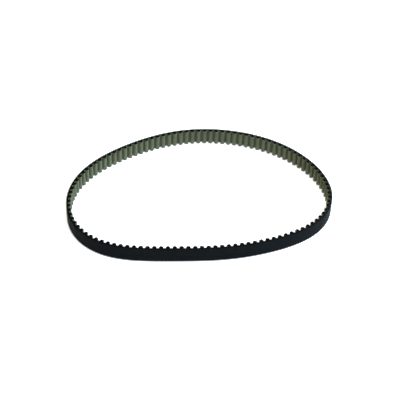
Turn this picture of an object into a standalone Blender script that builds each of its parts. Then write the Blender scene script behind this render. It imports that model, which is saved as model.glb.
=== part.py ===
"""Endless timing belt with round teeth on its inner side, standing on one of its cut edges.

The belt lies in its relaxed loop, an uneven oval. It is divided into stretches, each cut in the
middle of the land between two teeth, which hinge on each other about upright axes on the pitch
line. Each stretch has four bonded layers, from the outside in: backing, tensile cord, tooth rubber
and tooth facing. The origin is the middle of the loop's box, at the level of the lower edge.
"""

import math

import bmesh
import bpy
import numpy as np

# Driving dimensions, in metres.
PITCH = 0.008
TEETH = 109
WIDTH = 0.020
THICKNESS = 0.0056  # tooth tip to back
TOOTH_HEIGHT = 0.0034  # tooth tip to land
PITCH_LINE_DEPTH = 0.000686  # land to the middle of the cord
TOOTH_RADIUS = 0.00257  # round part of a tooth
LAND_START = 0.0031  # tooth's middle to the edge of the land
CORD_DIAMETER = 0.0007
FACING_THICKNESS = 0.00022
BOND_GAP = 0.00002  # between bonded layers
EDGE_RECESS = 0.0002  # the cord and the facing end this far inside the cut rubber
SLIT = 0.0006  # between two stretches

LENGTH = PITCH * TEETH
BACK = THICKNESS - TOOTH_HEIGHT - PITCH_LINE_DEPTH  # pitch line to back

# The loop's outline: its heading turns once round, with a few waves on it.
# Waves round the loop: (swing, phase), in degrees, counted from the middle of a front tooth.
START_HEADING = -24.7
WAVES = {2: (16.95, 110.3), 3: (6.45, 89.6), 4: (1.0, 230.5), 5: (1.45, 155.3), 6: (1.65, 118.3)}
STEPS_PER_PITCH = 16

# Stretches, anticlockwise from the front one, which is the root. The loop is open after OPEN_AFTER.
FIRST_LAND = -9.5  # in pitches
STRETCH_TEETH = (13, 7, 7, 13, 7, 7, 7, 7, 7, 6, 14, 7, 7)
OPEN_AFTER = 7

# Material of each layer: colour, roughness.
LOOKS = {
    "backing": ((0.014, 0.015, 0.017), 0.62),
    "tensile_cord": ((0.62, 0.60, 0.52), 0.50),
    "tooth_rubber": ((0.012, 0.012, 0.013), 0.70),
    "tooth_facing": ((0.115, 0.125, 0.095), 0.80),
}


def clear_scene():
    for obj in list(bpy.data.objects):
        bpy.data.objects.remove(obj, do_unlink=True)


def heading(distance, closing):
    """The direction of the pitch line, in radians, at a distance along it."""
    turn = 2 * math.pi * distance / LENGTH
    angle = math.radians(START_HEADING) + turn
    angle = angle + closing[0] * np.cos(turn) + closing[1] * np.sin(turn)
    for count, (swing, phase) in WAVES.items():
        angle = angle + math.radians(swing) * np.sin(count * turn + math.radians(phase))
    return angle


def middles():
    """The middle of each short step along the pitch line."""
    return (np.arange(TEETH * STEPS_PER_PITCH) + 0.5) * PITCH / STEPS_PER_PITCH


def closing_wave():
    """The cosine and sine of one wave round the loop that make its two ends meet."""
    distance = middles()
    turn = 2 * math.pi * distance / LENGTH
    closing = np.zeros(2)
    for _ in range(8):
        angle = heading(distance, closing)
        cosine, sine = np.cos(angle), np.sin(angle)
        miss = [cosine.sum(), sine.sum()]
        slope = [
            [-(sine * np.cos(turn)).sum(), -(sine * np.sin(turn)).sum()],
            [(cosine * np.cos(turn)).sum(), (cosine * np.sin(turn)).sum()],
        ]
        closing -= np.linalg.solve(slope, miss)
    return closing


class PitchLine:
    """The line along the middle of the cord, seen from above, anticlockwise."""

    def __init__(self):
        step = PITCH / STEPS_PER_PITCH
        self.closing = closing_wave()
        angle = heading(middles(), self.closing)
        steps = step * np.stack([np.cos(angle), np.sin(angle)], axis=1)
        self.points = np.vstack([np.zeros(2), np.cumsum(steps, axis=0)])
        self.knots = step * np.arange(len(self.points))
        back = self.place(PITCH / 2 * np.arange(2 * TEETH), BACK)
        self.points -= (back.min(axis=0) + back.max(axis=0)) / 2

    def place(self, distance, outward):
        """Points at distances along the line, moved outward from the loop."""
        along = np.mod(distance, LENGTH)
        x, y = (np.interp(along, self.knots, self.points[:, i]) for i in (0, 1))
        angle = heading(distance, self.closing)
        return np.stack([x + outward * np.sin(angle), y - outward * np.cos(angle)], axis=1)


def shortened(distances):
    """The same line with half a slit taken off each end."""
    distances[0] += SLIT / 2
    distances[-1] -= SLIT / 2
    return distances


def smooth_line(pitch_line, first, teeth, outward):
    """A plain layer face along one stretch, with a point every half pitch."""
    distances = PITCH * first + PITCH / 2 * np.arange(2 * teeth + 1)
    return pitch_line.place(shortened(distances), outward)


def inset_line(line, inset):
    """A (along, depth) line moved sideways into the belt, with mitred corners."""
    runs = np.diff(line, axis=0)
    runs /= np.linalg.norm(runs, axis=1, keepdims=True)
    normals = np.stack([runs[:, 1], -runs[:, 0]], axis=1)
    before = np.vstack([normals[:1], normals])
    after = np.vstack([normals, normals[-1:]])
    return line + inset * (before + after) / (1 + (before * after).sum(axis=1, keepdims=True))


def tooth_outline(inset):
    """(along, depth) points of one pitch, from land middle to land middle, over one tooth."""
    centre = PITCH_LINE_DEPTH + TOOTH_HEIGHT - TOOTH_RADIUS
    half = [(-PITCH / 2, PITCH_LINE_DEPTH), (-LAND_START, PITCH_LINE_DEPTH)]
    for angle in (0, math.pi / 4):
        half.append((-TOOTH_RADIUS * math.cos(angle), centre + TOOTH_RADIUS * math.sin(angle)))
    tip = [(0, PITCH_LINE_DEPTH + TOOTH_HEIGHT)]
    mirrored = [(-along, depth) for along, depth in reversed(half)]
    return inset_line(np.array(half + tip + mirrored), inset)


def toothed_line(pitch_line, first, teeth, inset):
    """A toothed layer face along one stretch."""
    outline = tooth_outline(inset)
    rows = [outline[:-1] + (PITCH * (first + 0.5 + i), 0) for i in range(teeth)]
    rows.append(outline[-1:] + (PITCH * (first + teeth - 0.5), 0))
    line = np.vstack(rows)
    return pitch_line.place(shortened(line[:, 0]), -line[:, 1])


def upright_solid(name, outer, inner, teeth, low, high):
    """A closed upright solid between two lines, with one cap face for each pitch."""
    mesh = bpy.data.meshes.new(name)
    shape = bmesh.new()
    rings = []
    for height in (low, high):
        rings.append([[shape.verts.new((*point, height)) for point in line] for line in (outer, inner)])
    for line in (0, 1):
        lower, upper = rings[0][line], rings[1][line]
        for i in range(len(lower) - 1):
            shape.faces.new((lower[i], lower[i + 1], upper[i + 1], upper[i]))
    for end in (0, -1):
        (outer_low, inner_low), (outer_high, inner_high) = rings
        shape.faces.new((outer_low[end], inner_low[end], inner_high[end], outer_high[end]))
    for outer_ring, inner_ring in rings:
        outer_points = (len(outer_ring) - 1) // teeth
        inner_points = (len(inner_ring) - 1) // teeth
        for i in range(teeth):
            outer_run = outer_ring[i * outer_points : (i + 1) * outer_points + 1]
            inner_run = inner_ring[i * inner_points : (i + 1) * inner_points + 1]
            shape.faces.new(outer_run + inner_run[::-1])
    bmesh.ops.recalc_face_normals(shape, faces=shape.faces)
    shape.to_mesh(mesh)
    shape.free()
    mesh.shade_smooth()
    mesh.set_sharp_from_angle(angle=math.radians(25))
    return bpy.data.objects.new(name, mesh)


def layer_faces(pitch_line, first, teeth):
    """Layer name to its outer line, its inner line and how far it stays inside the cut edges."""
    cord = CORD_DIAMETER / 2
    under_cord = smooth_line(pitch_line, first, teeth, -cord - BOND_GAP)
    return {
        "backing": (
            smooth_line(pitch_line, first, teeth, BACK),
            smooth_line(pitch_line, first, teeth, cord + BOND_GAP),
            0,
        ),
        "tensile_cord": (
            smooth_line(pitch_line, first, teeth, cord),
            smooth_line(pitch_line, first, teeth, -cord),
            EDGE_RECESS,
        ),
        "tooth_rubber": (
            under_cord,
            toothed_line(pitch_line, first, teeth, FACING_THICKNESS + BOND_GAP),
            0,
        ),
        "tooth_facing": (
            toothed_line(pitch_line, first, teeth, FACING_THICKNESS),
            toothed_line(pitch_line, first, teeth, 0),
            EDGE_RECESS,
        ),
    }


def layer_materials():
    made = {}
    for layer, (colour, roughness) in LOOKS.items():
        material = bpy.data.materials.new(layer)
        material.use_nodes = True
        shader = material.node_tree.nodes["Principled BSDF"]
        shader.inputs["Base Color"].default_value = (*colour, 1)
        shader.inputs["Roughness"].default_value = roughness
        shader.inputs["Metallic"].default_value = 0
        material.diffuse_color = (*colour, 1)
        made[layer] = material
    return made


def hinge_empty(number, point, parent):
    """An empty on a stretch's hinge axis, which carries the stretch."""
    empty = bpy.data.objects.new(f"hinge_{number:02d}", None)
    empty.empty_display_size = WIDTH
    bpy.context.scene.collection.objects.link(empty)
    start = np.zeros(2)
    if parent:
        empty.parent = parent["empty"]
        start = parent["point"]
    empty.location = (*(point - start), 0)
    return {"empty": empty, "point": point}


def hinge_empties(pitch_line, lands):
    """Stretch number to its hinge. The root's is the origin. Two chains start from the root."""
    count = len(STRETCH_TEETH)
    hinges = {1: hinge_empty(1, np.zeros(2), None)}
    for number in range(2, OPEN_AFTER + 1):
        point = pitch_line.place(np.array([PITCH * lands[number - 1]]), 0)[0]
        hinges[number] = hinge_empty(number, point, hinges[number - 1])
    for number in range(count, OPEN_AFTER, -1):
        point = pitch_line.place(np.array([PITCH * lands[number]]), 0)[0]
        hinges[number] = hinge_empty(number, point, hinges[number % count + 1])
    return hinges


def main():
    clear_scene()
    pitch_line = PitchLine()
    materials = layer_materials()
    lands = FIRST_LAND + np.concatenate([[0], np.cumsum(STRETCH_TEETH)])
    hinges = hinge_empties(pitch_line, lands)
    for number, teeth in enumerate(STRETCH_TEETH, start=1):
        hinge = hinges[number]
        faces = layer_faces(pitch_line, lands[number - 1], teeth)
        for layer, (outer, inner, recess) in faces.items():
            name = f"{layer}_{number:02d}"
            start = hinge["point"]
            solid = upright_solid(name, outer - start, inner - start, teeth, recess, WIDTH - recess)
            solid.data.materials.append(materials[layer])
            solid.parent = hinge["empty"]
            bpy.context.scene.collection.objects.link(solid)


main()
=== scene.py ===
"""Looks of an endless timing belt with round teeth, standing on one cut edge on a pale floor.

The belt is rebuilt layer by layer along the CAD model's pitch line. Each layer is made in spans
that run from the middle of one stretch to the middle of the next, over the hinge between them.
Lengths are in metres.
"""

import math

import bpy
import numpy as np
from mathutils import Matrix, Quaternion, Vector


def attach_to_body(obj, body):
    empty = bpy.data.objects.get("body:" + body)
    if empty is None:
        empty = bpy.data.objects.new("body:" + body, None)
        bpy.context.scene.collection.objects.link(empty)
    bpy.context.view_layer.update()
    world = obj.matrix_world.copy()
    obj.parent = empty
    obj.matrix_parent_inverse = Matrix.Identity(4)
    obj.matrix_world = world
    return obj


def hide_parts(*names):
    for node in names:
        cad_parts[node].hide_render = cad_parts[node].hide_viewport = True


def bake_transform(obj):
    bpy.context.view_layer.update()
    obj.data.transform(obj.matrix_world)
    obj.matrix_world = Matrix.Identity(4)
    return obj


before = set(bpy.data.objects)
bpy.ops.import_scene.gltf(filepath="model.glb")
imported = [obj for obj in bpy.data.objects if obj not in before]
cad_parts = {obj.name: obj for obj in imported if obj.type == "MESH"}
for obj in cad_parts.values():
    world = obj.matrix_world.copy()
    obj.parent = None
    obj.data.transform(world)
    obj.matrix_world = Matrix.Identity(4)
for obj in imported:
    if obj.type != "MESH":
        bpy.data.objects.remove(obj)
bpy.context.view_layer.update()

# The belt, as in the CAD model.
PITCH = 0.008
TEETH = 109
WIDTH = 0.020
THICKNESS = 0.0056  # tooth tip to back
TOOTH_HEIGHT = 0.0034  # tooth tip to land
PITCH_LINE_DEPTH = 0.000686  # land to the middle of the cord
TOOTH_RADIUS = 0.00257  # round part of a tooth
CORD_DIAMETER = 0.0007
FACING_THICKNESS = 0.00022
LENGTH = PITCH * TEETH
BACK = THICKNESS - TOOTH_HEIGHT - PITCH_LINE_DEPTH  # pitch line to back

# The loop's outline, as in the CAD model: (swing, phase) of each wave, in degrees.
START_HEADING = -24.7
WAVES = {2: (16.95, 110.3), 3: (6.45, 89.6), 4: (1.0, 230.5), 5: (1.45, 155.3), 6: (1.65, 118.3)}
STEPS_PER_PITCH = 16
NEWTON_STEPS = 8  # to close the loop

# The stretches that are rigid bodies, anticlockwise from the front one.
FIRST_LAND = -9.5  # in pitches
STRETCH_TEETH = (13, 7, 7, 13, 7, 7, 7, 7, 7, 6, 14, 7, 7)
OPEN_AFTER = 7
STRETCHES = len(STRETCH_TEETH)

# Where each stretch starts and the last one ends, and the land nearest to each stretch's middle.
LANDS = FIRST_LAND + np.concatenate([[0], np.cumsum(STRETCH_TEETH)])
MIDDLES = [LANDS[i] + teeth // 2 for i, teeth in enumerate(STRETCH_TEETH)]

# Spans, in pitches.
BLEND_MARGIN = 0.2  # each end of a span that is left out of its reach over the hinge
OPEN_TRIM = 0.0025  # taken off each of the two ends at the open pivot, so that they never meet

# Fine shape of the layers.
ROOT_RADIUS = 0.00062  # fillet between a tooth and the land
ARC_STEPS = 16  # on the round of one tooth
ROOT_STEPS = 5
LAND_STEPS = 2
BACK_STEPS = 8  # per pitch
BACK_ROWS = 6  # rows of faces across the width
SINK_DEPTH = 0.000012  # the back is a little hollow over each tooth
BACK_ROUND = 0.00012  # rounding of the back's cut edges
RUBBER_ROUND = 0.00003
FACING_ROUND = 0.00009
FACING_RECESS = 0.00004  # the fabric ends this far inside the cut rubber
ROUND_STEPS = 3
KNIFE_WANDER = 0.000022  # how unevenly the belt was slit from its sleeve
KNIFE_INSET = 1.5  # the edges' mean distance inside the nominal width, in KNIFE_WANDER
KNIFE_WAVES = (  # of the lower edge and of the upper: (swing, times round the loop, phase)
    ((0.6, 4, 2), (0.4, 27, 1)),
    ((0.6, 5, 1), (0.4, 31, 0)),
)
CORD_LAY = 0.00108  # distance from one turn of the cord to the next
CORD_PROUD = 0.000008  # a cut cord stands this far out of the cut edge
CORD_EXPOSED = 0.85  # share of the cord's radius past which nothing of a cut turn is left
CORD_SIDES = 10
CORD_STEPS = 3  # per pitch
CORD_TWIST = (2.6, 8.6)  # of its strands, in radians per mm along the cord and round it
YARNS_PER_PITCH = 28  # of the facing, along one pitch of the toothed face
SHARP_ANGLE = 35
UV_NAME = "belt"  # in metres, along the layer and round its section
REST_NAME = "rest"  # each point's place in the relaxed loop

# Colours of the rubber and the fabric, as linear light.
BACK_LOW, BACK_HIGH = (0.0047, 0.0055, 0.0061), (0.012, 0.0132, 0.0147)
BACK_BLOOM = (0.016, 0.0168, 0.0175)
BACK_SCUFF = (0.022, 0.0235, 0.025)
BACK_DUST = (0.034, 0.033, 0.031)
CUT_LOW, CUT_HIGH = (0.0026, 0.0022, 0.0013), (0.0068, 0.006, 0.0038)
CUT_CHATTER = (0.011, 0.01, 0.0075)
CUT_CRUMB = (0.02, 0.02, 0.016)
YARN_ACROSS, YARN_ALONG = (0.144, 0.155, 0.079), (0.172, 0.186, 0.097)
YARN_FIBRE = (0.107, 0.112, 0.056)
YARN_PATCH = (0.177, 0.178, 0.088)
# ROOT_SHADE is painted shade on the lands between the teeth, and partly the rubber that comes
# through there.
ROOT_SHADE = (0.03, 0.036, 0.027)
YARN_GAP = (0.015, 0.016, 0.014)
ENDS_LOW, ENDS_HIGH = (0.006, 0.006, 0.005), (0.06, 0.064, 0.045)
CORD_LOW, CORD_HIGH = (0.012, 0.01, 0.008), (0.03, 0.026, 0.018)
CORD_GROOVE = (0.004, 0.004, 0.003)
FLOOR = (0.81, 0.81, 0.81)
ROOM = (0.012, 0.012, 0.012)

# The camera, for the photograph's view.
CAMERA_ELEVATION = 42.70
CAMERA_DISTANCE = 1.4619
CAMERA_AIM = (-0.0001, -0.0032, 0)
CAMERA_ROLL = 2.10
LENS = 105.16
SENSOR = 36

# The studio. Each soft box: name, place, side, power in watts, colour.
FLOOR_SIZE = 60.0
FLOOR_GLOW = 0.8
SOFT_BOXES = (
    ("ceiling", (0.0, 0.0, 2.0), 2.0, 20, (1.0, 0.96, 0.88)),
    ("window", (1.64, 0.77, 0.85), 1.0, 52, (0.6, 0.8, 0.93)),
    ("side", (1.39, -1.17, 0.85), 1.0, 21, (0.37, 0.7, 1.0)),
)
TONES = ((0.2, 0.2), (0.4, 0.28), (0.6, 0.4), (0.8, 0.63), (0.95, 0.91))  # (brightness, shown as)


# ---------------------------------------------------------------- pitch line


def heading(distance, closing):
    """The direction of the pitch line, in radians, at a distance along it."""
    turn = 2 * math.pi * distance / LENGTH
    angle = math.radians(START_HEADING) + turn
    angle = angle + closing[0] * np.cos(turn) + closing[1] * np.sin(turn)
    for count, (swing, phase) in WAVES.items():
        angle = angle + math.radians(swing) * np.sin(count * turn + math.radians(phase))
    return angle


def middles():
    """The middle of each short step along the pitch line."""
    return (np.arange(TEETH * STEPS_PER_PITCH) + 0.5) * PITCH / STEPS_PER_PITCH


def closing_wave():
    """The cosine and sine of one wave round the loop that make its two ends meet."""
    distance = middles()
    turn = 2 * math.pi * distance / LENGTH
    closing = np.zeros(2)
    for _ in range(NEWTON_STEPS):
        angle = heading(distance, closing)
        cosine, sine = np.cos(angle), np.sin(angle)
        miss = [cosine.sum(), sine.sum()]
        slope = [
            [-(sine * np.cos(turn)).sum(), -(sine * np.sin(turn)).sum()],
            [(cosine * np.cos(turn)).sum(), (cosine * np.sin(turn)).sum()],
        ]
        closing -= np.linalg.solve(slope, miss)
    return closing


class PitchLine:
    """The line along the middle of the cord, seen from above, anticlockwise."""

    def __init__(self):
        step = PITCH / STEPS_PER_PITCH
        self.closing = closing_wave()
        angle = heading(middles(), self.closing)
        steps = step * np.stack([np.cos(angle), np.sin(angle)], axis=1)
        self.points = np.vstack([np.zeros(2), np.cumsum(steps, axis=0)])
        self.knots = step * np.arange(len(self.points))
        back = self.place(PITCH / 2 * np.arange(2 * TEETH), BACK)
        self.points -= (back.min(axis=0) + back.max(axis=0)) / 2

    def place(self, distance, outward):
        """Points at distances along the line, moved outward from the loop."""
        along = np.mod(distance, LENGTH)
        x, y = (np.interp(along, self.knots, self.points[:, i]) for i in (0, 1))
        angle = heading(distance, self.closing)
        return np.stack([x + outward * np.sin(angle), y - outward * np.cos(angle)], axis=1)


# ------------------------------------------------------------------ profiles


def arc(centre, radius, start, end, steps):
    """Points on an arc, angles in degrees."""
    angles = np.radians(np.linspace(start, end, steps + 1))
    x, y = centre[0] + radius * np.cos(angles), centre[1] + radius * np.sin(angles)
    return np.stack([x, y], axis=1)


def tooth_outline():
    """(along, depth) points of one pitch of the toothed face, from land middle to land middle."""
    flank = PITCH_LINE_DEPTH + ROOT_RADIUS
    centre = PITCH_LINE_DEPTH + TOOTH_HEIGHT - TOOTH_RADIUS
    root = arc((-TOOTH_RADIUS - ROOT_RADIUS, flank), ROOT_RADIUS, -90, 0, ROOT_STEPS)
    land = np.linspace([-PITCH / 2, PITCH_LINE_DEPTH], root[0], LAND_STEPS + 1)[:-1]
    side = arc((0, centre), TOOTH_RADIUS, 180, 90, ARC_STEPS // 2)
    half = np.vstack([land, root, side])
    return np.vstack([half, half[-2::-1] * (-1, 1)])


def inset_line(line, inset):
    """A (along, depth) line moved sideways into the belt, with mitred corners."""
    runs = np.diff(line, axis=0)
    runs /= np.linalg.norm(runs, axis=1, keepdims=True)
    normals = np.stack([runs[:, 1], -runs[:, 0]], axis=1)
    before = np.vstack([normals[:1], normals])
    after = np.vstack([normals, normals[-1:]])
    return line + inset * (before + after) / (1 + (before * after).sum(axis=1, keepdims=True))


def repeated(outline, first, last):
    """A one-pitch outline repeated along a span that ends at lands, or a hair inside them."""
    start, teeth = math.floor(first) + 0.5, round(last - first)
    rows = [outline[:-1] + (PITCH * (start + 0.5 + i), 0) for i in range(teeth)]
    rows.append(outline[-1:] + (PITCH * (start + teeth - 0.5), 0))
    line = np.vstack(rows)
    line[:, 0] = np.clip(line[:, 0], PITCH * first, PITCH * last)
    return line


def run_length(line):
    """How far each point is along a line."""
    return np.concatenate([[0], np.cumsum(np.linalg.norm(np.diff(line, axis=0), axis=1))])


OUTLINE = tooth_outline()
FACE_PER_PITCH = run_length(OUTLINE)[-1]


# -------------------------------------------------------------------- meshes


class Section:
    """A layer's cross-section, seen along the belt, from its visible line to its hidden one.

    shares runs from the visible line, 0, to the hidden one, 1, and heights from cut edge to cut
    edge. The strip after each point is in zone 0, the face, or zone 1, the rest."""

    def __init__(self, thickness, rounding, rows, recess=0):
        face = [(0, height) for height in np.linspace(rounding, WIDTH - rounding, rows + 1)]
        upper = arc((rounding, WIDTH - rounding), rounding, 180, 90, ROUND_STEPS)[1:]
        lower = arc((rounding, rounding), rounding, 270, 180, ROUND_STEPS)[:-1]
        points = np.vstack([face, upper, [(thickness, WIDTH), (thickness, 0)], lower])
        self.shares = points[:, 0] / thickness
        self.heights = points[:, 1]
        self.zones = [0] * rows + [1] * (len(points) - rows)
        self.across = run_length(np.vstack([points, points[:1]]))
        self.recess = recess


class Sweep:
    """Rings of points joined into closed tubes, with UVs in metres along and round each tube."""

    def __init__(self):
        self.points, self.faces, self.zones, self.corners = [], [], [], []

    def add(self, rings, along, across, zones):
        stations, around = rings.shape[:2]
        index = np.arange(stations * around).reshape(stations, around) + len(self.points)
        beside = np.roll(index, -1, axis=1)
        quads = np.stack([index[:-1], beside[:-1], beside[1:], index[1:]], axis=-1)
        u = np.stack([along[:-1], along[:-1], along[1:], along[1:]], axis=-1)[:, None]
        v = np.stack([across[:-1], across[1:], across[1:], across[:-1]], axis=-1)[None]
        self.corners += np.stack(np.broadcast_arrays(u, v), axis=-1).reshape(-1, 2).tolist()
        self.corners += [(along[0], place) for place in across[-2::-1]]
        self.corners += [(along[-1], place) for place in across[:-1]]
        self.points += rings.reshape(-1, 3).tolist()
        self.faces += quads.reshape(-1, 4).tolist() + [index[0, ::-1].tolist(), index[-1].tolist()]
        self.zones += zones * (stations - 1) + [1, 1]

    def piece(self, name, materials, slot):
        mesh = bpy.data.meshes.new(name)
        mesh.from_pydata(self.points, [], self.faces)
        mesh.polygons.foreach_set("material_index", self.zones)
        mesh.uv_layers.new(name=UV_NAME).data.foreach_set("uv", np.ravel(self.corners))
        rest = mesh.attributes.new(REST_NAME, "FLOAT_VECTOR", "POINT")
        rest.data.foreach_set("vector", np.ravel(self.points))
        mesh.shade_smooth()
        mesh.set_sharp_from_angle(angle=math.radians(SHARP_ANGLE))
        for material in materials:
            mesh.materials.append(material)
        piece = bpy.data.objects.new(name, mesh)
        bpy.context.scene.collection.objects.link(piece)
        return piece


def edge_wander(distance):
    """How far inside the nominal width the slitting knife left the lower and the upper edge."""
    turn = 2 * math.pi * distance / LENGTH
    edges = []
    for waves in KNIFE_WAVES:
        swings = [swing * np.sin(count * turn + phase) for swing, count, phase in waves]
        edges.append(KNIFE_WANDER * (KNIFE_INSET + sum(swings)))
    return edges


def layer_sweep(visible, hidden, distance, along, section):
    """A closed solid between a span's visible and hidden lines."""
    lower, upper = edge_wander(distance)
    low, high = lower + section.recess, WIDTH - upper - section.recess
    share = section.shares[:, None]
    plan = visible[:, None] * (1 - share) + hidden[:, None] * share
    height = low[:, None] + (high - low)[:, None] * section.heights / WIDTH
    sweep = Sweep()
    sweep.add(np.dstack([plan, height]), along, section.across, section.zones)
    return sweep


# -------------------------------------------------------------------- layers


def backing(line, first, last):
    """The outer rubber. Its ground back is a little hollow over each tooth."""
    distance = PITCH * np.linspace(first, last, round(last - first) * BACK_STEPS + 1)
    hollow = SINK_DEPTH * (1 + np.cos(2 * math.pi * distance / PITCH)) / 2
    visible = line.place(distance, BACK - hollow)
    section = Section(BACK, BACK_ROUND, BACK_ROWS)
    return layer_sweep(visible, line.place(distance, 0), distance, distance, section)


def toothed_face(line, first, last, inset):
    """The toothed outline of a span, moved into the belt."""
    outline = repeated(inset_line(OUTLINE, inset), first, last)
    return line.place(outline[:, 0], -outline[:, 1])


def toothed_distances(first, last):
    """Each outline point's distance along the pitch line, and along the toothed face."""
    outline = repeated(OUTLINE, first, last)
    return outline[:, 0], run_length(outline) + first * FACE_PER_PITCH


def tooth_rubber(line, first, last):
    """The rubber of the teeth, from the facing to the middle of the cord."""
    visible = toothed_face(line, first, last, FACING_THICKNESS)
    hidden = line.place(PITCH * np.linspace(first, last, len(visible)), 0)
    section = Section(TOOTH_HEIGHT, RUBBER_ROUND, 1)
    return layer_sweep(visible, hidden, *toothed_distances(first, last), section)


def tooth_facing(line, first, last):
    """The woven fabric over the teeth."""
    visible = toothed_face(line, first, last, 0)
    hidden = toothed_face(line, first, last, FACING_THICKNESS)
    section = Section(FACING_THICKNESS, FACING_ROUND, 1, FACING_RECESS)
    return layer_sweep(visible, hidden, *toothed_distances(first, last), section)


def tensile_cord(line, first, last):
    """The turns of one wound cord. The slitting knife cut those at the edges flat."""
    sweep = Sweep()
    radius = CORD_DIAMETER / 2
    angles = np.linspace(0, 2 * math.pi, CORD_SIDES + 1)
    pitches = np.linspace(first, last, round(last - first) * CORD_STEPS + 1)
    lower, upper = edge_wander(PITCH * pitches)
    low, high = (lower - CORD_PROUD)[:, None], (WIDTH - upper + CORD_PROUD)[:, None]
    exposed = CORD_EXPOSED * radius
    rings = np.zeros((len(pitches), CORD_SIDES, 3))
    for side, angle in enumerate(angles[:-1]):
        rings[:, side, :2] = line.place(PITCH * pitches, -radius * math.cos(angle))
    for turn in range(-1, math.ceil(WIDTH / CORD_LAY) + 1):
        middle = CORD_LAY * (turn + (pitches - MIDDLES[0]) / TEETH)
        heights = middle[:, None] + radius * np.sin(angles[:-1])
        rings[..., 2] = np.clip(heights, low, high)
        kept = np.flatnonzero((middle > -exposed) & (middle < WIDTH + exposed))
        if len(kept) > 1:
            sweep.add(rings[kept], PITCH * pitches[kept], radius * angles, [0] * CORD_SIDES)
    return sweep


# ----------------------------------------------------------------- materials


class Look:
    """A material's node tree, with short calls for the nodes used here. Vectors are in mm."""

    def __init__(self, name, **constants):
        self.material = bpy.data.materials.new(name)
        self.material.use_nodes = True
        self.tree = self.material.node_tree
        self.shader = self.tree.nodes["Principled BSDF"]
        for socket, value in constants.items():
            self.shader.inputs[socket.replace("_", " ")].default_value = value
        self.uv = self.scaled(self.node("ShaderNodeUVMap", uv_map=UV_NAME), (1000, 1000, 0))
        rest = self.node("ShaderNodeAttribute", attribute_name=REST_NAME, output="Vector")
        self.rest = self.scaled(rest, (1000, 1000, 1000))

    def node(self, kind, *values, output=0, **settings):
        made = self.tree.nodes.new(kind)
        for setting, value in settings.items():
            setattr(made, setting, value)
        inputs = [socket for socket in made.inputs if socket.enabled]
        for socket, value in zip(inputs, values):
            self.put(socket, value)
        return made.outputs[output]

    def put(self, socket, value):
        if isinstance(value, bpy.types.NodeSocket):
            self.tree.links.new(value, socket)
        elif value is not None:
            socket.default_value = value

    def math(self, operation, *values):
        return self.node("ShaderNodeMath", *values, operation=operation)

    def scaled(self, vector, factors):
        return self.node("ShaderNodeVectorMath", vector, factors, operation="MULTIPLY")

    def noise(self, vector, size, detail=2, roughness=0.5):
        """Noise from 0 to 1 whose lumps are about size mm across."""
        return self.node("ShaderNodeTexNoise", vector, 1 / size, detail, roughness)

    def ramp(self, value, low, high):
        """Smoothly from 0, where the value reaches low, to 1, where it reaches high."""
        smooth = {"interpolation_type": "SMOOTHSTEP"}
        return self.node("ShaderNodeMapRange", value, low, high, 0, 1, **smooth)

    def mixed(self, factor, first, second):
        """One of two colours or the share of each."""
        made = self.tree.nodes.new("ShaderNodeMix")
        made.data_type = "RGBA"
        for place, value in ((0, factor), (6, first), (7, second)):
            self.put(made.inputs[place], (*value, 1) if isinstance(value, tuple) else value)
        return made.outputs[2]

    def tinted(self, colour, factor, most, tint):
        """A colour that goes over to a tint by at most a share."""
        return self.mixed(self.math("MULTIPLY", factor, most), colour, tint)

    def between(self, factor, low, high):
        """A number from low, at factor 0, to high, at factor 1."""
        return self.node("ShaderNodeMapRange", factor, 0, 1, low, high)

    def bumps(self, *heights):
        """Normals from (height from 0 to 1, depth in mm) pairs."""
        normal = None
        for height, depth in heights:
            made = self.tree.nodes.new("ShaderNodeBump")
            made.inputs["Strength"].default_value = 1
            made.inputs["Distance"].default_value = depth / 1000
            self.put(made.inputs["Height"], height)
            self.put(made.inputs["Normal"], normal)
            normal = made.outputs[0]
        return normal

    def finish(self, colour, roughness, normal):
        self.put(self.shader.inputs["Base Color"], colour)
        self.put(self.shader.inputs["Roughness"], roughness)
        self.put(self.shader.inputs["Normal"], normal)
        return self.material


def ground_rubber():
    """The back: black rubber ground along the belt, with a faint bloom, scuffs and dust."""
    look = Look("ground_rubber", Specular_IOR_Level=0.015)
    lines = look.noise(look.scaled(look.uv, (0.04, 1, 0)), 0.16, 4, 0.65)
    scuffs = look.ramp(look.noise(look.scaled(look.uv, (0.05, 1, 0)), 0.5, 2), 0.66, 0.72)
    grain = look.noise(look.rest, 0.12, 3)
    bloom = look.ramp(look.noise(look.rest, 14, 3), 0.35, 0.7)
    dust = look.ramp(look.noise(look.rest, 0.5, 4, 0.7), 0.62, 0.72)
    colour = look.mixed(look.ramp(lines, 0.36, 0.64), BACK_LOW, BACK_HIGH)
    colour = look.tinted(colour, bloom, 0.35, BACK_BLOOM)
    colour = look.tinted(colour, scuffs, 0.45, BACK_SCUFF)
    colour = look.tinted(colour, dust, 0.4, BACK_DUST)
    normal = look.bumps((lines, 0.04), (grain, 0.015))
    return look.finish(colour, look.between(bloom, 0.5, 0.72), normal)


def cut_rubber():
    """The cut edges: dense black rubber with the slitting knife's fine marks and chatter."""
    look = Look("cut_rubber", Specular_IOR_Level=0.03)
    marks = look.noise(look.scaled(look.uv, (0.15, 1, 0)), 0.1, 4, 0.65)
    chatter = look.noise(look.scaled(look.uv, (1, 0.12, 0)), 0.22, 2)
    grain = look.noise(look.rest, 0.18, 3, 0.6)
    crumbs = look.ramp(look.noise(look.rest, 0.35, 4, 0.7), 0.63, 0.7)
    colour = look.mixed(look.ramp(grain, 0.35, 0.65), CUT_LOW, CUT_HIGH)
    colour = look.tinted(colour, look.ramp(chatter, 0.4, 0.7), 0.35, CUT_CHATTER)
    colour = look.tinted(colour, crumbs, 0.4, CUT_CRUMB)
    normal = look.bumps((marks, 0.025), (chatter, 0.02), (grain, 0.03))
    return look.finish(colour, look.between(marks, 0.6, 0.85), normal)


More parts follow.
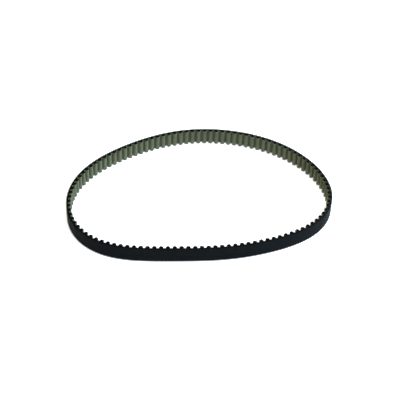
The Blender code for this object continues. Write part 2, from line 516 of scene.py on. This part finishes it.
def weave(look, across, along):
    """A two by two twill. Returns the fabric's height and where its lengthwise yarns lie on top."""
    waves = [look.math("SINE", look.math("MULTIPLY", count, math.pi)) for count in (across, along)]
    heights = [look.math("ABSOLUTE", wave) for wave in waves]
    cells = [look.math("FLOOR", count) for count in (across, along)]
    step = look.math("FLOORED_MODULO", look.math("ADD", *cells), 4)
    on_top = look.math("LESS_THAN", step, 1.5)
    height = look.node("ShaderNodeMix", on_top, *heights, data_type="FLOAT")
    return height, on_top


def painted_land_shade_and_rubber(look, yarns):
    """0 on a tooth and 1 on a land, for painted shade on the lands and the rubber that comes
    through there, from yarns counted along.
    """
    pitches = look.math("ADD", look.math("DIVIDE", yarns, YARNS_PER_PITCH), 0.5)
    off_tooth = look.math("ABSOLUTE", look.math("SUBTRACT", look.math("FRACT", pitches), 0.5))
    return look.ramp(off_tooth, 0.22, 0.38)


def woven_facing():
    """The toothed face: grey-green nylon twill, with black rubber between its yarns."""
    look = Look("woven_facing", Specular_IOR_Level=0.2, Sheen_Weight=0.15, Sheen_Roughness=0.5)
    yarn = 1000 * FACE_PER_PITCH / YARNS_PER_PITCH
    drift = look.math("MULTIPLY", look.noise(look.rest, 3, 2), 0.35)
    counts = look.node("ShaderNodeSeparateXYZ", look.scaled(look.uv, (1 / yarn, 1 / yarn, 0)))
    axes = counts.node.outputs
    height, on_top = weave(look, look.math("ADD", axes[0], drift), look.math("ADD", axes[1], drift))
    patches = look.noise(look.rest, 6, 3)
    fibres = look.noise(look.scaled(look.uv, (1, 6, 0)), 0.12, 3)
    colour = look.mixed(on_top, YARN_ACROSS, YARN_ALONG)
    colour = look.tinted(colour, fibres, 0.5, YARN_FIBRE)
    colour = look.mixed(look.ramp(patches, 0.4, 0.75), colour, YARN_PATCH)
    # painted shade: the lands between the teeth are made darker than the teeth, partly also for the
    # rubber that comes through there
    colour = look.tinted(colour, painted_land_shade_and_rubber(look, axes[0]), 0.32, ROOT_SHADE)
    colour = look.tinted(colour, look.ramp(height, 0.45, 0.05), 0.75, YARN_GAP)
    roughness = look.between(patches, 0.72, 0.9)
    return look.finish(colour, roughness, look.bumps((height, 0.06), (fibres, 0.015)))


def cut_fabric():
    """The fabric's cut edge: yarn ends pressed into black rubber."""
    look = Look("cut_fabric", Specular_IOR_Level=0.15)
    ends = look.noise(look.uv, 0.16, 2)
    colour = look.mixed(look.ramp(ends, 0.4, 0.62), ENDS_LOW, ENDS_HIGH)
    return look.finish(colour, look.between(ends, 0.7, 0.9), look.bumps((ends, 0.03)))


def glass_cord():
    """Twisted glass fibre, dipped in a dark latex."""
    look = Look("glass_cord", Specular_IOR_Level=0.3)
    axes = look.node("ShaderNodeSeparateXYZ", look.uv).node.outputs
    turns = [look.math("MULTIPLY", axis, twist) for axis, twist in zip(axes, CORD_TWIST)]
    strand = look.math("ABSOLUTE", look.math("SINE", look.math("ADD", *turns)))
    latex = look.noise(look.rest, 0.4, 3)
    colour = look.mixed(look.ramp(latex, 0.35, 0.7), CORD_LOW, CORD_HIGH)
    colour = look.mixed(look.ramp(strand, 0.3, 0.0), colour, CORD_GROOVE)
    return look.finish(colour, look.between(latex, 0.5, 0.7), look.bumps((strand, 0.05)))


def pale_floor():
    """A white studio table, lit past white so that the belt stands on it without a shadow."""
    glow = {"Emission_Color": (1, 1, 1, 1), "Emission_Strength": FLOOR_GLOW}
    return Look("pale_floor", Specular_IOR_Level=0.1, **glow).finish((*FLOOR, 1), 0.9, None)


# --------------------------------------------------------------------- spans


def numbered(kind, number):
    """A name in the CAD model. The numbers start again after the last stretch."""
    return f"{kind}_{(number - 1) % STRETCHES + 1:02d}"


def body_name(number):
    return numbered("stretch", number)


def spans():
    """(start, end, stretch before, stretch after) of each span. Its ends are in pitches.

    A span over a hinge has two stretches. The two at the open pivot have one each."""
    found = []
    for number in range(1, STRETCHES + 1):
        first = MIDDLES[number - 1]
        last = MIDDLES[number] if number < STRETCHES else MIDDLES[0] + TEETH
        if number == OPEN_AFTER:
            found.append((first, LANDS[number] - OPEN_TRIM, number, number))
            found.append((LANDS[number] + OPEN_TRIM, last, number + 1, number + 1))
        else:
            found.append((first, last, number, number + 1))
    return found


def attach(piece, line, first, last, before, after):
    """Lets a span's piece ride on its one stretch, or, for a span over a hinge, bakes its place
    into its points.
    """
    if before == after:
        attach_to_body(piece, body_name(before))
        return
    hinge = LANDS[before]
    reach = min(hinge - first, last - hinge) - BLEND_MARGIN
    start, end = line.place(PITCH * np.array([hinge - reach, hinge + reach]), 0)
    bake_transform(piece)


def make_belt():
    """Every layer of every span. Each layer has one material on its face and one on the rest."""
    line = PitchLine()
    cut, cord = cut_rubber(), glass_cord()
    layers = {
        "backing": (backing, [ground_rubber(), cut]),
        "tensile_cord": (tensile_cord, [cord, cord]),
        "tooth_rubber": (tooth_rubber, [cut, cut]),
        "tooth_facing": (tooth_facing, [woven_facing(), cut_fabric()]),
    }
    for number, (first, last, before, after) in enumerate(spans(), start=1):
        for layer, (shape, materials) in layers.items():
            piece = shape(line, first, last).piece(f"{layer}_span_{number:02d}", materials, layer)
            attach(piece, line, first, last, before, after)
            nodes = {numbered(layer, stretch) for stretch in (before, after)}
            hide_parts(*sorted(nodes))


# --------------------------------------------------------------------- stage


def add_floor():
    mesh = bpy.data.meshes.new("floor")
    side = FLOOR_SIZE / 2
    corners = [(-side, -side, 0), (side, -side, 0), (side, side, 0), (-side, side, 0)]
    mesh.from_pydata(corners, [], [(0, 1, 2, 3)])
    mesh.uv_layers.new(name=UV_NAME)
    mesh.materials.append(pale_floor())
    floor = bpy.data.objects.new("floor", mesh)
    bpy.context.scene.collection.objects.link(floor)


def add_light(name, place, size, power, colour):
    """A square soft box that faces the belt."""
    data = bpy.data.lights.new(name, "AREA")
    data.shape = "SQUARE"
    data.size = size
    data.energy = power
    data.color = colour
    light = bpy.data.objects.new(name, data)
    light.location = place
    light.rotation_mode = "QUATERNION"
    light.rotation_quaternion = (-Vector(place)).to_track_quat("-Z", "Y")
    bpy.context.scene.collection.objects.link(light)


def add_world():
    """A nearly dark room, so that the light comes from the soft boxes and the floor."""
    world = bpy.data.worlds.new("studio")
    world.use_nodes = True
    world.node_tree.nodes["Background"].inputs["Color"].default_value = (*ROOM, 1)
    bpy.context.scene.world = world


def add_camera():
    data = bpy.data.cameras.new("camera")
    data.lens = LENS
    data.sensor_width = SENSOR
    camera = bpy.data.objects.new("camera", data)
    rise = math.radians(CAMERA_ELEVATION)
    back = Vector((0, -math.cos(rise), math.sin(rise)))
    camera.location = Vector(CAMERA_AIM) + CAMERA_DISTANCE * back
    camera.rotation_mode = "QUATERNION"
    level = (-back).to_track_quat("-Z", "Y")
    camera.rotation_quaternion = level @ Quaternion((0, 0, 1), math.radians(CAMERA_ROLL))
    bpy.context.scene.collection.objects.link(camera)
    bpy.context.scene.camera = camera


def set_tones():
    """Plain colours, with light greys shown darker, so that dark outlines stay crisp."""
    view = bpy.context.scene.view_settings
    view.view_transform = "Standard"
    view.use_curve_mapping = True
    combined = view.curve_mapping.curves[3]
    for shown, printed in TONES:
        combined.points.new(shown, printed)
    for point in combined.points:
        point.handle_type = "VECTOR"
    view.curve_mapping.update()


add_camera()
make_belt()
add_floor()
add_world()
for box in SOFT_BOXES:
    add_light(*box)
set_tones()
